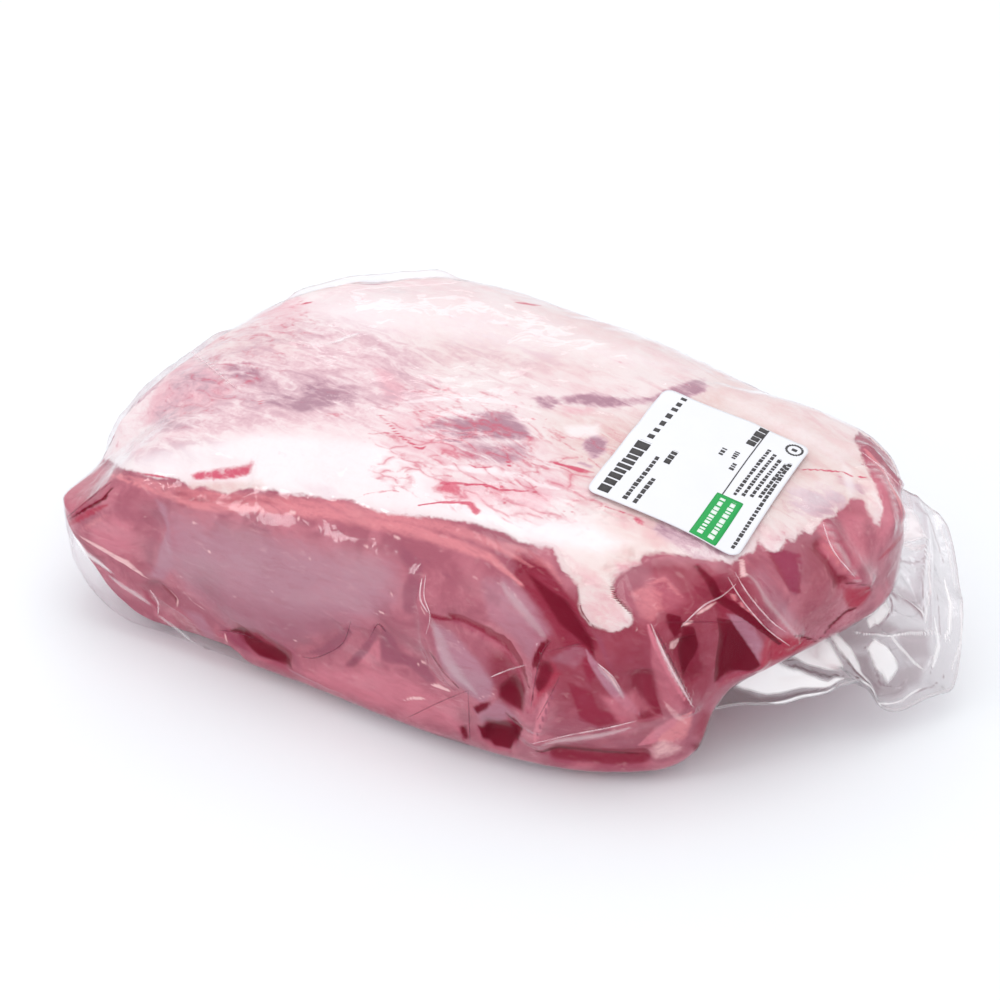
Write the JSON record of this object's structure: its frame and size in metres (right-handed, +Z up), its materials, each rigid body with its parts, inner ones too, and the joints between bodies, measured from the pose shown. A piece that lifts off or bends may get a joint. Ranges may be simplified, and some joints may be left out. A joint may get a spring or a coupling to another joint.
{
  "type": "vacuum-packed pork leg",
  "caption": "Block of pork leg in clear shrink film with a loose sealed corner at one end, lying flat with a paper label on top.",
  "frame": {"origin": "middle of the pack's footprint, on the table it lies on", "axes": "+X along the block towards the loose sealed corner of the bag, +Z up, and -Y out of the long front face"},
  "size_m": [0.2592, 0.156, 0.0824],
  "materials": {
    "packed_pork": "raw pork with a pale fat cap, seen through clear glossy shrink film that clings to it in sharp folds",
    "label_paper": "smooth white label paper with black print and one green field"
  },
  "bodies": {
    "root": {"vacuum_bag": "packed_pork", "paper_label": "label_paper"}
  },
  "joints": []
}
